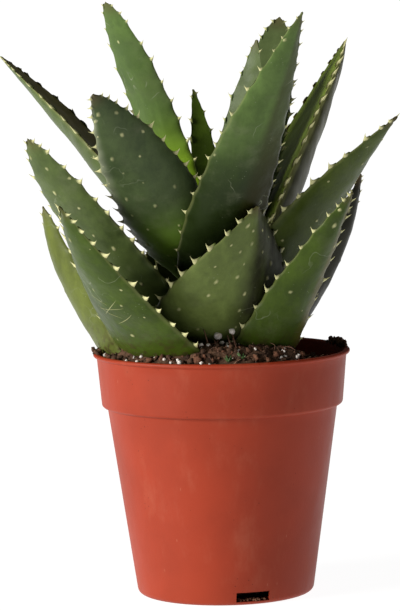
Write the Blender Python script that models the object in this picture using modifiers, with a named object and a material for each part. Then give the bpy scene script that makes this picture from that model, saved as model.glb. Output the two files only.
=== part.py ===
"""A potted aloe: a rosette of thick toothed leaves on a short stem, in a round nursery pot full of soil.

Metres, +Z up. The origin is on the ground, at the centre of the pot's base.
Angles are in degrees. A turn is measured from +X towards +Y, and the front of the plant faces -Y.
"""

import math
from collections import namedtuple

import bmesh
import bpy
import numpy as np

# ---- the pot ---------------------------------------------------------------------------------
POT_HEIGHT = 0.114
LIP_RADIUS = 0.060
LIP_DEPTH = 0.0028
COLLAR_TOP_RADIUS = 0.0583
COLLAR_FOOT_RADIUS = 0.0564
COLLAR_FOOT_HEIGHT = 0.0900
BODY_TOP_RADIUS = 0.0537
BASE_RADIUS = 0.0415
CORNER_RADIUS = 0.0030
WALL = 0.0012
FLOOR = 0.0017
FLOOR_FILLET = 0.0016
UNDER_LIP = 0.0035
LIP_ROLL = 0.0011
STEP_ROLL = 0.0016
SHOULDER_DROP = 0.0022
POT_SIDES = 48

# ---- the drain slots, cut through the wall just above the floor ---------------------------------
DRAIN_COUNT = 3
DRAIN_TURN = 287.5
DRAIN_WIDTH = 0.016
DRAIN_TOP = 0.0062

# ---- the soil -----------------------------------------------------------------------------------
# it is heaped in the middle, and its edge lies higher on the side that SOIL_HIGH_TURN points to
SOIL_CENTRE_HEIGHT = 0.1145
SOIL_EDGE_HEIGHT = 0.1081
SOIL_EDGE_RADIUS = 0.0560
SOIL_TILT = 0.0046
SOIL_HIGH_TURN = 235
SOIL_FOOT_HEIGHT = 0.0140
SOIL_SIDES = 40
GAP = 0.0003

# ---- the stem -----------------------------------------------------------------------------------
STEM_OFFSET = -0.003
STEM_TOP = 0.159
STEM_TOP_RADIUS = 0.0045
CROWN_HEIGHT = 0.090
CROWN_RADIUS = 0.012
CROWN_DEPTH = 0.010
STEM_FOOT = 0.060
STEM_SIDES = 20

# ---- the leaves ---------------------------------------------------------------------------------
LEAF_STATIONS = 20
LEAF_SIDES = 8
MIDLINE_STEPS = 80
TIP_CROWDING = 1.15
LEAF_TO_STEM = 0.0006
LEAF_DROP = 0.010

# a leaf's width and thickness at its base, as shares of the greatest, and where these are reached
BASE_WIDTH_SHARE = 0.75
BASE_DEPTH_SHARE = 0.32
FULL_WIDTH_AT = 0.25
FULL_DEPTH_AT = 0.35
THINNING = 1.7
TIP_BLUNTNESS = 0.8
TIP_WIDTH = 0.0012
TIP_DEPTH = 0.0007

# its upper side: the margins' bulge as a share of the thickness, the channel as a share of the width
UPPER_BULGE = 0.12
CHANNEL_SHARE = 0.07
CHANNEL_SKEW = 0.7

TOOTH_HEIGHT = 0.0016
TOOTHLESS_BASE = 0.18
TOOTHLESS_TIP = 0.92

Leaf = namedtuple("Leaf", "name turn sweep seat lean curl length width taper roll twist plump")

# turn, sweep: the way the leaf points at its base, and how far it swings round by its tip
# seat: the height at which it leaves the stem
# lean, curl: its slope above the horizontal at its base, and how much steeper it gets by its tip
# taper: how long it keeps its width before it runs out to the point
# roll, twist: its turn about its own length at its base, and the turn added by its tip
# plump: its greatest thickness, as a share of its width
LEAVES = (
    Leaf("leaf_top_left", 212, 14, 0.153, 76, -19, 0.136, 0.027, 3.8, 13, -7, 0.27),
    Leaf("leaf_top_far_left", 157, -12, 0.145, 57, -25, 0.152, 0.035, 4.0, 15, 0, 0.36),
    Leaf("leaf_upper_front_left", 240, -3, 0.147, 46, -3, 0.129, 0.044, 2.4, -4, 60, 0.24),
    Leaf("leaf_middle_left", 208, 15, 0.123, 40, 12, 0.131, 0.039, 3.9, 4, 4, 0.27),
    Leaf("leaf_lower_front_left", 227, 14, 0.097, 40, 5, 0.135, 0.056, 2.1, 3, -30, 0.22),
    Leaf("leaf_lower_left", 175, 19, 0.086, 38, 35, 0.119, 0.041, 2.9, -16, 40, 0.28),
    Leaf("leaf_lower_front", 270, 52, 0.113, 41, 25, 0.090, 0.060, 3.8, -17, 25, 0.21),
    Leaf("leaf_top_front", 271, 49, 0.141, 42, 19, 0.168, 0.038, 3.3, 1, -7, 0.27),
    Leaf("leaf_heart", 103, 9, 0.158, 87, -25, 0.080, 0.015, 2.7, -1, -7, 0.27),
    Leaf("leaf_top_back", 63, -5, 0.149, 67, 5, 0.115, 0.031, 3.0, 7, -19, 0.27),
    Leaf("leaf_top_back_right", 57, 15, 0.143, 63, -6, 0.143, 0.030, 4.9, -14, 27, 0.24),
    Leaf("leaf_upper_right", 37, 31, 0.133, 69, -39, 0.162, 0.044, 4.1, -19, -28, 0.39),
    Leaf("leaf_middle_right", 333, -5, 0.123, 60, -22, 0.133, 0.048, 2.8, -18, 24, 0.27),
    Leaf("leaf_lower_front_right", 312, 2, 0.087, 57, -9, 0.131, 0.036, 1.9, -14, 4, 0.27),
    Leaf("leaf_lower_right", 353, -8, 0.102, 40, 36, 0.112, 0.027, 2.4, 29, -60, 0.26),
    Leaf("leaf_upper_back_left", 138, 2, 0.154, 60, 5, 0.094, 0.018, 3.5, 0, -20, 0.27),
    Leaf("leaf_lower_back", 98, 5, 0.092, 36, 24, 0.109, 0.035, 2.1, 0, -4, 0.27),
    Leaf("leaf_lower_back_left", 140, -3, 0.097, 34, 23, 0.096, 0.031, 2.2, -3, 2, 0.27),
    Leaf("leaf_lower_back_right", 53, 3, 0.099, 30, 30, 0.094, 0.035, 2.1, 4, -2, 0.27),
    Leaf("leaf_middle_back", 122, 0, 0.118, 57, 9, 0.090, 0.030, 2.2, 0, 0, 0.27),
    Leaf("leaf_middle_back_right", 74, 4, 0.120, 52, 10, 0.088, 0.026, 2.2, 0, 0, 0.27),
    Leaf("leaf_middle_back_left", 138, -8, 0.112, 47, 14, 0.058, 0.026, 2.2, 0, 0, 0.27),
)

# where two leaf bases crowd together, the outer one is hollowed to take the inner one
NESTED = (
    ("leaf_lower_front_right", "leaf_lower_front"),
    ("leaf_lower_front_right", "stem"),
    ("leaf_lower_front_left", "leaf_lower_front_right"),
    ("leaf_lower_back_left", "leaf_lower_front_left"),
    ("leaf_middle_left", "leaf_middle_right"),
    ("leaf_middle_right", "leaf_top_front"),
    ("leaf_middle_right", "stem"),
    ("leaf_upper_front_left", "leaf_top_front"),
    ("leaf_top_far_left", "leaf_upper_front_left"),
    ("leaf_top_back_right", "leaf_top_back"),
    ("leaf_upper_back_left", "leaf_top_left"),
    ("leaf_middle_back", "leaf_middle_back_right"),
    ("leaf_middle_back", "leaf_middle_left"),
    ("leaf_middle_back_right", "leaf_upper_right"),
    ("leaf_upper_right", "leaf_top_back_right"),
    ("leaf_upper_right", "leaf_top_front"),
    ("leaf_upper_right", "stem"),
    ("leaf_top_far_left", "leaf_top_left"),
)


def clear_scene():
    for old in list(bpy.data.objects):
        bpy.data.objects.remove(old, do_unlink=True)


def make_collection(name):
    collection = bpy.data.collections.new(name)
    bpy.context.scene.collection.children.link(collection)
    return collection


def make_material(name, colour, roughness):
    material = bpy.data.materials.new(name)
    material.use_nodes = True
    shader = material.node_tree.nodes["Principled BSDF"]
    shader.inputs["Base Color"].default_value = (*colour, 1.0)
    shader.inputs["Roughness"].default_value = roughness
    shader.inputs["Metallic"].default_value = 0.0
    return material


def make_object(name, mesh, material, collection):
    made = bpy.data.objects.new(name, mesh)
    mesh.materials.append(material)
    mesh.shade_smooth()
    mesh.set_sharp_from_angle(angle=math.radians(35))
    collection.objects.link(made)
    return made


def hide_as_cutter(made):
    made.hide_render = True
    made.display_type = "WIRE"


def turned(name, outline, sides, material, collection):
    """A solid of revolution: the outline of radius and height, run down its outer side, screwed round Z."""
    mesh = bpy.data.meshes.new(name)
    points = [(radius, 0.0, height) for radius, height in outline]
    edges = [(i, i + 1) for i in range(len(points) - 1)]
    mesh.from_pydata(points, edges, [])
    made = make_object(name, mesh, material, collection)
    screw = made.modifiers.new("turn", "SCREW")
    screw.steps = sides
    screw.render_steps = sides
    screw.use_merge_vertices = True
    screw.merge_threshold = 0.00001
    return made


def cut(made, cutter):
    boolean = made.modifiers.new("cut by " + cutter.name, "BOOLEAN")
    boolean.operation = "DIFFERENCE"
    boolean.solver = "EXACT"
    boolean.object = cutter


def apply_and_keep_largest(made):
    """The object's cut mesh made real, without the crumbs that a cut leaves loose."""
    depsgraph = bpy.context.evaluated_depsgraph_get()
    mesh = bpy.data.meshes.new_from_object(made.evaluated_get(depsgraph))
    cutting = bmesh.new()
    cutting.from_mesh(mesh)
    left = set(cutting.verts)
    pieces = []
    while left:
        piece = {left.pop()}
        edge_of_piece = list(piece)
        while edge_of_piece:
            vert = edge_of_piece.pop()
            for edge in vert.link_edges:
                other = edge.other_vert(vert)
                if other in left:
                    left.remove(other)
                    piece.add(other)
                    edge_of_piece.append(other)
        pieces.append(piece)
    pieces.sort(key=len, reverse=True)
    crumbs = [vert for piece in pieces[1:] for vert in piece]
    bmesh.ops.delete(cutting, geom=crumbs, context="VERTS")
    cutting.to_mesh(mesh)
    cutting.free()
    made.modifiers.clear()
    made.data = mesh


def arc(centre, radius, start, end, steps):
    """Points of radius and height on part of a circle, from one angle to the other."""
    angles = np.radians(np.linspace(start, end, steps + 1))
    return [(centre[0] + radius * math.cos(a), centre[1] + radius * math.sin(a)) for a in angles]


def pot_inside(gap):
    """The pot's inner side from the floor's centre up to under the lip, moved in by a gap."""
    inner = WALL + gap
    return [
        (0.0, FLOOR + gap),
        (BASE_RADIUS - CORNER_RADIUS, FLOOR + gap),
        (BASE_RADIUS - inner, FLOOR + gap + FLOOR_FILLET),
        (BODY_TOP_RADIUS - inner, COLLAR_FOOT_HEIGHT - SHOULDER_DROP - WALL),
        (COLLAR_FOOT_RADIUS - inner, COLLAR_FOOT_HEIGHT),
        (COLLAR_TOP_RADIUS - inner, POT_HEIGHT - UNDER_LIP),
    ]


def pot_outside():
    """The pot's outer side from the lip down to the centre of its base."""
    lip = arc((LIP_RADIUS - LIP_ROLL, POT_HEIGHT - LIP_ROLL), LIP_ROLL, 90, -90, 4)
    step = arc((COLLAR_FOOT_RADIUS - STEP_ROLL, COLLAR_FOOT_HEIGHT), STEP_ROLL, 0, -80, 3)
    corner = arc((BASE_RADIUS - CORNER_RADIUS, CORNER_RADIUS), CORNER_RADIUS, -8, -90, 3)
    under_lip = [(COLLAR_TOP_RADIUS, POT_HEIGHT - LIP_DEPTH)]
    shoulder = [(BODY_TOP_RADIUS, COLLAR_FOOT_HEIGHT - SHOULDER_DROP)]
    return lip + under_lip + step + shoulder + corner + [(0.0, 0.0)]


def make_pot(parts, cutters):
    terracotta = make_material("terracotta_plastic", (0.52, 0.13, 0.07), 0.45)
    inner_lip = [(COLLAR_TOP_RADIUS - WALL, POT_HEIGHT)]
    pot = turned("pot", pot_inside(0.0) + inner_lip + pot_outside(), POT_SIDES, terracotta, parts)
    slot_height = DRAIN_TOP - FLOOR
    for number in range(DRAIN_COUNT):
        slot = bmesh.new()
        bmesh.ops.create_cube(slot, size=1.0)
        bmesh.ops.scale(slot, vec=(0.012, DRAIN_WIDTH, slot_height), verts=slot.verts)
        bmesh.ops.translate(slot, vec=(BASE_RADIUS, 0.0, FLOOR + slot_height / 2), verts=slot.verts)
        mesh = bpy.data.meshes.new(f"drain_slot_{number + 1}")
        slot.to_mesh(mesh)
        slot.free()
        cutter = make_object(mesh.name, mesh, terracotta, cutters)
        cutter.rotation_euler.z = math.radians(DRAIN_TURN + number * 360 / DRAIN_COUNT)
        hide_as_cutter(cutter)
        cut(pot, cutter)


def stem_radius(height):
    """The stem's radius, which shrinks evenly from the root crown to the top."""
    along = (height - CROWN_HEIGHT) / (STEM_TOP - CROWN_HEIGHT)
    along = min(max(along, 0.0), 1.0)
    return CROWN_RADIUS + (STEM_TOP_RADIUS - CROWN_RADIUS) * along


def make_stem(name, grow, material, collection):
    outline = [
        (0.0, STEM_TOP + grow),
        (STEM_TOP_RADIUS * 0.7 + grow, STEM_TOP - STEM_TOP_RADIUS * 0.1 + grow),
        (STEM_TOP_RADIUS + grow, STEM_TOP - STEM_TOP_RADIUS * 0.45 + grow),
        (CROWN_RADIUS + grow, CROWN_HEIGHT),
        (CROWN_RADIUS * 0.9 + grow, CROWN_HEIGHT - CROWN_DEPTH),
        (CROWN_RADIUS * 0.5 + grow, STEM_FOOT + CROWN_DEPTH * 0.8),
        (0.0, STEM_FOOT - grow),
    ]
    made = turned(name, outline, STEM_SIDES, material, collection)
    made.location.x = STEM_OFFSET
    return made


def unit(vectors):
    return vectors / np.linalg.norm(vectors, axis=-1, keepdims=True)


def leaf_midline(leaf):
    """Midline points at the stations, with the ahead, across and upper directions there.

    The midline starts on the stem and is followed in short steps, while its slope goes evenly from
    lean to lean + curl and its heading from turn to turn + sweep.
    """
    fine = np.linspace(0.0, 1.0, MIDLINE_STEPS + 1)
    slope = np.radians(leaf.lean + leaf.curl * fine)
    heading = np.radians(leaf.turn + leaf.sweep * fine)
    level = np.cos(slope)
    ahead = np.stack([level * np.cos(heading), level * np.sin(heading), np.sin(slope)], axis=-1)
    steps = (ahead[1:] + ahead[:-1]) / 2 * leaf.length / MIDLINE_STEPS
    path = np.concatenate([np.zeros((1, 3)), np.cumsum(steps, axis=0)])
    out = stem_radius(leaf.seat) + LEAF_TO_STEM
    path += (STEM_OFFSET + out * math.cos(heading[0]), out * math.sin(heading[0]), leaf.seat)

    along = 1 - (1 - np.linspace(0.0, 1.0, LEAF_STATIONS)) ** TIP_CROWDING
    centre = np.stack([np.interp(along, fine, path[:, k]) for k in range(3)], axis=-1)
    ahead = unit(np.stack([np.interp(along, fine, ahead[:, k]) for k in range(3)], axis=-1))
    heading = np.interp(along, fine, heading)
    level_across = np.stack([-np.sin(heading), np.cos(heading), 0 * heading], axis=-1)
    level_upper = unit(np.cross(ahead, level_across))
    roll = np.radians(leaf.roll + leaf.twist * along)[:, None]
    across = np.cos(roll) * level_across + np.sin(roll) * level_upper
    upper = np.cos(roll) * level_upper - np.sin(roll) * level_across
    return along, centre, ahead, across, upper


def leaf_rings(leaf, grow):
    """Rings of points from a leaf's base to its tip, moved out by grow on every side.

    Each ring is flat across the midline. Its lower side is half an ellipse. Its upper side is a
    shallow channel, which is filled in a grown copy.
    """
    along, centre, ahead, across, upper = leaf_midline(leaf)
    to_full_width = np.clip(along / FULL_WIDTH_AT, 0, 1)
    swell = BASE_WIDTH_SHARE + (1 - BASE_WIDTH_SHARE) * np.sin(to_full_width * math.pi / 2)
    half_width = np.maximum(leaf.width * (1 - along**leaf.taper) * swell, TIP_WIDTH) / 2
    to_full_depth = np.clip(along / FULL_DEPTH_AT, 0, 1)
    smooth_step = to_full_depth * to_full_depth * (3 - 2 * to_full_depth)
    fill = BASE_DEPTH_SHARE + (1 - BASE_DEPTH_SHARE) * smooth_step
    thinning = (1 - along**THINNING) ** TIP_BLUNTNESS
    depth = np.maximum(leaf.plump * leaf.width * fill * thinning, TIP_DEPTH)[:, None]
    hollow = CHANNEL_SHARE * leaf.width if grow == 0.0 else 0.0
    channel = hollow * np.sin(math.pi * along**CHANNEL_SKEW)[:, None]
    toothed = (along > TOOTHLESS_BASE) & (along < TOOTHLESS_TIP) & (np.arange(LEAF_STATIONS) % 2 == 1)
    tooth = np.where(toothed, TOOTH_HEIGHT, 0.0)[:, None]

    angle = np.linspace(0.0, 2 * math.pi, LEAF_SIDES, endpoint=False)[None, :]
    side = np.cos(angle)
    rise = np.abs(np.sin(angle))
    at_margin = rise < 0.01
    below = -rise * (depth + grow)
    above = (UPPER_BULGE * depth + grow) * rise - channel * rise**2
    height = np.where(np.sin(angle) < 0, below, above)
    reach = side * (half_width[:, None] + grow) + np.where(at_margin, side, 0.0) * tooth
    rings = centre[:, None, :] + across[:, None, :] * reach[..., None] + upper[:, None, :] * height[..., None]
    rings[0] -= ahead[0] * grow
    rings[-1] += ahead[-1] * grow
    return rings


def loft(name, rings, material, collection):
    """A closed skin over rings that differ from one to the next, with a flat face at each end."""
    skin = bmesh.new()
    rows = [[skin.verts.new(point) for point in ring] for ring in rings]
    count = len(rows[0])
    for lower, upper in zip(rows, rows[1:]):
        for i in range(count):
            j = (i + 1) % count
            skin.faces.new((lower[i], lower[j], upper[j]))
            skin.faces.new((lower[i], upper[j], upper[i]))
    skin.faces.new(reversed(rows[0]))
    skin.faces.new(rows[-1])
    bmesh.ops.recalc_face_normals(skin, faces=skin.faces)
    mesh = bpy.data.meshes.new(name)
    skin.to_mesh(mesh)
    skin.free()
    return make_object(name, mesh, material, collection)


def make_leaves(parts, cutters, stem_room):
    """The leaves, and for each a slightly larger copy to cut room for it."""
    made = {}
    rooms = {"stem": stem_room}
    for leaf in LEAVES:
        green = make_material(leaf.name + "_green", (0.09, 0.17, 0.05), 0.42)
        made[leaf.name] = loft(leaf.name, leaf_rings(leaf, 0.0), green, parts)
        rooms[leaf.name] = loft("room_for_" + leaf.name, leaf_rings(leaf, GAP), green, cutters)
        hide_as_cutter(rooms[leaf.name])
    for outer, inner in NESTED:
        cut(made[outer], rooms[inner])
    for leaf in LEAVES:
        if made[leaf.name].modifiers:
            apply_and_keep_largest(made[leaf.name])
    return rooms


def tilt_top(soil):
    """The soil's turned mesh made real, and its top sheared so that one side of its edge is higher."""
    depsgraph = bpy.context.evaluated_depsgraph_get()
    mesh = bpy.data.meshes.new_from_object(soil.evaluated_get(depsgraph))
    soil.modifiers.clear()
    soil.data = mesh
    turn = math.radians(SOIL_HIGH_TURN)
    for vert in mesh.vertices:
        if vert.co.z > SOIL_EDGE_HEIGHT - GAP:
            towards_high = vert.co.x * math.cos(turn) + vert.co.y * math.sin(turn)
            vert.co.z += SOIL_TILT * towards_high / SOIL_EDGE_RADIUS


def make_soil(parts, leaf_rooms):
    peat = make_material("peat", (0.06, 0.03, 0.02), 0.95)
    inside = pot_inside(GAP)
    outline = [
        (0.0, SOIL_CENTRE_HEIGHT),
        (SOIL_EDGE_RADIUS / 2, (SOIL_CENTRE_HEIGHT + SOIL_EDGE_HEIGHT) / 2),
        (SOIL_EDGE_RADIUS, SOIL_EDGE_HEIGHT),
        *reversed(inside[3:5]),
        (BASE_RADIUS - WALL + GAP * 2, SOIL_FOOT_HEIGHT),
        (BASE_RADIUS * 0.75, FLOOR + GAP),
        (0.0, FLOOR + GAP),
    ]
    soil = turned("soil", outline, SOIL_SIDES, peat, parts)
    tilt_top(soil)
    cut(soil, leaf_rooms["stem"])
    for leaf in LEAVES:
        if leaf.seat < SOIL_CENTRE_HEIGHT + LEAF_DROP:
            cut(soil, leaf_rooms[leaf.name])
    apply_and_keep_largest(soil)


def main():
    clear_scene()
    parts = make_collection("potted_aloe")
    cutters = make_collection("cutters")
    make_pot(parts, cutters)
    bark = make_material("stem_green", (0.16, 0.17, 0.07), 0.7)
    make_stem("stem", 0.0, bark, parts)
    stem_room = make_stem("room_for_stem", GAP, bark, cutters)
    hide_as_cutter(stem_room)
    leaf_rooms = make_leaves(parts, cutters, stem_room)
    make_soil(parts, leaf_rooms)


main()
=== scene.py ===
import math
from collections import namedtuple

import bpy
import numpy as np
from mathutils import Matrix, Vector


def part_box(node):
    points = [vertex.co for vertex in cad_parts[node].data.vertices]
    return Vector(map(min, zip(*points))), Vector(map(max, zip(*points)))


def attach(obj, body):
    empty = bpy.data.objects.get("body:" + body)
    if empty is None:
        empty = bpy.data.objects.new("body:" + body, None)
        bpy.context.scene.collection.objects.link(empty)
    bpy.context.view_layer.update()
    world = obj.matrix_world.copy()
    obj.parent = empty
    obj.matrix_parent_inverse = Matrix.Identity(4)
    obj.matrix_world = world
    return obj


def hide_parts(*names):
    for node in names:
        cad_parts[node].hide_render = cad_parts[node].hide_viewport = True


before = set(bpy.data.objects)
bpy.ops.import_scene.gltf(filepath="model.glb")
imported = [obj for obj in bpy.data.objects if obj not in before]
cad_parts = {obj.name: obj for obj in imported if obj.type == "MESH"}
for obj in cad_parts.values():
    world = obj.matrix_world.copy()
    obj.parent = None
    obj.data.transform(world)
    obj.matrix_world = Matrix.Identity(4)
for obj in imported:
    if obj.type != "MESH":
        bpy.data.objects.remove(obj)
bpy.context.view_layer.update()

bl_info = {
    "name": "Potted Aloe",
    "version": (1, 0, 0),
    "blender": (4, 5, 0),
    "location": "View3D > Sidebar > Aloe",
    "description": "Builds the visible surfaces of a potted aloe around its packed solids",
    "category": "Add Mesh",
}

TAU = 2 * math.pi

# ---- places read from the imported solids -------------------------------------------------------
POT_LOW, POT_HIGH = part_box("pot")
SOIL_LOW, SOIL_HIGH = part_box("soil")
STEM_LOW, STEM_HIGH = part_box("stem")
LIP_RADIUS = (POT_HIGH[0] - POT_LOW[0]) / 2
POT_HEIGHT = POT_HIGH[2]
STEM_OFFSET = (STEM_LOW[0] + STEM_HIGH[0]) / 2
STEM_TOP = STEM_HIGH[2]
STEM_FOOT = STEM_LOW[2]
CROWN_RADIUS = (STEM_HIGH[0] - STEM_LOW[0]) / 2

# ---- the pot's own sizes, metres ----------------------------------------------------------------
COLLAR_TOP_RADIUS = 0.0583
COLLAR_FOOT_RADIUS = 0.0564
COLLAR_FOOT_HEIGHT = 0.0900
BODY_TOP_RADIUS = 0.0537
BASE_RADIUS = 0.0415
CORNER_RADIUS = 0.0030
WALL = 0.0012
FLOOR = 0.0017
LIP_DEPTH = 0.0022
DRAIN_COUNT = 3
DRAIN_TURN = 287.5
DRAIN_WIDTH = 0.016
DRAIN_TOP = 0.0062

# ---- the soil's own sizes
SOIL_EDGE = COLLAR_TOP_RADIUS - WALL - 0.0002
SOIL_HEAP = 0.0068
SOIL_HEAP_TURN = 255
SOIL_SLOPE_LENGTH = 0.011

# large grains of perlite lying on the soil: x, y and radius
GRAINS = (
    (-0.0540, -0.0120, 0.0011),
    (-0.0435, -0.0335, 0.0012),
    (-0.0400, -0.0355, 0.0011),
    (-0.0385, -0.0395, 0.0013),
    (-0.0300, -0.0430, 0.0011),
    (-0.0260, -0.0470, 0.0009),
    (-0.0187, -0.0445, 0.0010),
    (-0.0190, -0.0520, 0.0012),
    (-0.0230, -0.0505, 0.0009),
    (0.0154, -0.0470, 0.0009),
    (0.0270, -0.0450, 0.0012),
    (0.0345, -0.0420, 0.0011),
)

# grains carried by the tips of two standing fibres: x, y and height of the middle, and radius
PERCHED_GRAINS = (
    (-0.0015, -0.0380, 0.1245, 0.0019),
    (0.0050, -0.0385, 0.1266, 0.0016),
)

# stiff root fibres standing out of the heap: both ends, and how far the middle bows aside
STANDING_FIBRES = (
    ((-0.0056, -0.0470, 0.1150), (-0.0079, -0.0400, 0.1280), 0.0006),
    ((-0.0030, -0.0460, 0.1150), (-0.0012, -0.0385, 0.1238), -0.0005),
    ((0.0051, -0.0470, 0.1150), (0.0028, -0.0400, 0.1250), 0.0004),
    ((0.0070, -0.0450, 0.1155), (0.0049, -0.0385, 0.1258), 0.0005),
    ((-0.0120, -0.0480, 0.1150), (-0.0060, -0.0420, 0.1225), 0.0008),
    ((0.0100, -0.0500, 0.1145), (0.0010, -0.0440, 0.1205), -0.0006),
    ((-0.0100, -0.0520, 0.1140), (0.0035, -0.0460, 0.1180), 0.0010),
    ((0.0000, -0.0520, 0.1140), (-0.0030, -0.0430, 0.1235), -0.0004),
)

# scraps of bark and coir lying on the soil: x, y and half length
SCRAPS = (
    (-0.0107, -0.0525, 0.0026),
    (0.0154, -0.0515, 0.0024),
    (0.0210, -0.0505, 0.0018),
    (-0.0330, -0.0440, 0.0020),
    (0.0400, -0.0385, 0.0019),
)

# little green shoots: x and y of the foot
SHOOT_BLADES = 9
SHOOTS = ((0.0028, -0.0530), (0.0089, -0.0525))

# ---- the stem's own sizes -----------------------------------------------------------------------
CROWN_HEIGHT = 0.090
STEM_TOP_RADIUS = 0.0045
LEAF_TO_STEM = 0.0006

Leaf = namedtuple("Leaf", "name turn sweep seat lean curl length width taper roll twist plump")

# turn, sweep: the way the leaf points at its base, and how far it swings round by its tip
# seat: the height at which it leaves the stem
# lean, curl: its slope above the horizontal at its base, and how much steeper it gets by its tip
# taper: how long it keeps its width before it runs out to the point
# roll, twist: its turn about its own length at its base, and the turn added by its tip
# plump: its greatest thickness, as a share of its width
LEAVES = (
    Leaf("leaf_top_left", 212, 14, 0.153, 76, -19, 0.136, 0.027, 3.8, 13, -7, 0.27),
    Leaf("leaf_top_far_left", 157, -12, 0.145, 57, -25, 0.152, 0.035, 4.0, 15, 0, 0.36),
    Leaf("leaf_upper_front_left", 240, -3, 0.147, 46, -3, 0.129, 0.044, 2.4, -4, 60, 0.24),
    Leaf("leaf_middle_left", 208, 15, 0.123, 40, 12, 0.131, 0.039, 3.9, 4, 4, 0.27),
    Leaf("leaf_lower_front_left", 227, 14, 0.097, 40, 5, 0.135, 0.056, 2.1, 3, -30, 0.22),
    Leaf("leaf_lower_left", 175, 19, 0.086, 38, 35, 0.119, 0.041, 2.9, -16, 40, 0.28),
    Leaf("leaf_lower_front", 270, 52, 0.113, 41, 25, 0.090, 0.060, 3.8, -17, 25, 0.21),
    Leaf("leaf_top_front", 271, 49, 0.141, 42, 19, 0.168, 0.038, 3.3, 1, -7, 0.27),
    Leaf("leaf_heart", 103, 9, 0.158, 87, -25, 0.080, 0.015, 2.7, -1, -7, 0.27),
    Leaf("leaf_top_back", 63, -5, 0.149, 67, 5, 0.115, 0.031, 3.0, 7, -19, 0.27),
    Leaf("leaf_top_back_right", 57, 15, 0.143, 63, -6, 0.143, 0.030, 4.9, -14, 27, 0.24),
    Leaf("leaf_upper_right", 37, 31, 0.133, 69, -39, 0.162, 0.044, 4.1, -19, -28, 0.39),
    Leaf("leaf_middle_right", 333, -5, 0.123, 60, -22, 0.133, 0.048, 2.8, -18, 24, 0.27),
    Leaf("leaf_lower_front_right", 312, 2, 0.087, 57, -9, 0.131, 0.036, 1.9, -14, 4, 0.27),
    Leaf("leaf_lower_right", 353, -8, 0.102, 40, 36, 0.112, 0.027, 2.4, 29, -60, 0.26),
    Leaf("leaf_upper_back_left", 138, 2, 0.154, 60, 5, 0.094, 0.018, 3.5, 0, -20, 0.27),
    Leaf("leaf_lower_back", 98, 5, 0.092, 36, 24, 0.109, 0.035, 2.1, 0, -4, 0.27),
    Leaf("leaf_lower_back_left", 140, -3, 0.097, 34, 23, 0.096, 0.031, 2.2, -3, 2, 0.27),
    Leaf("leaf_lower_back_right", 53, 3, 0.099, 30, 30, 0.094, 0.035, 2.1, 4, -2, 0.27),
    Leaf("leaf_middle_back", 122, 0, 0.118, 57, 9, 0.090, 0.030, 2.2, 0, 0, 0.27),
    Leaf("leaf_middle_back_right", 74, 4, 0.120, 52, 10, 0.088, 0.026, 2.2, 0, 0, 0.27),
    Leaf("leaf_middle_back_left", 138, -8, 0.112, 47, 14, 0.058, 0.026, 2.2, 0, 0, 0.27),
)

# a leaf's width and thickness at its base, as shares of the greatest, and where these are reached
BASE_WIDTH_SHARE = 0.75
BASE_DEPTH_SHARE = 0.32
FULL_WIDTH_AT = 0.25
FULL_DEPTH_AT = 0.35
THINNING = 1.7
TIP_BLUNTNESS = 0.8
TIP_WIDTH = 0.0009
TIP_DEPTH = 0.0005
CROWNING = 0.10
KEEL = 1.25
UPPER_BULGE = 0.12
CHANNEL_SHARE = 0.07
CHANNEL_SKEW = 0.7
MIDLINE_STEPS = 400
SMALL_ANGLE = 1e-3
BASE_OVERLAP = 0.0035
PLACE_TOLERANCE = 0.010

# teeth
TOOTHLESS_BASE = 0.08
TOOTH_ROWS = 9
TOOTH_SIDES = 10
TOOTH_POINT = 0.00004
SCRATCH_WIDTH = 0.0005

Look = namedtuple("Look", "tooth gap spots skin blush edge bloom scuffs blunt")

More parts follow.
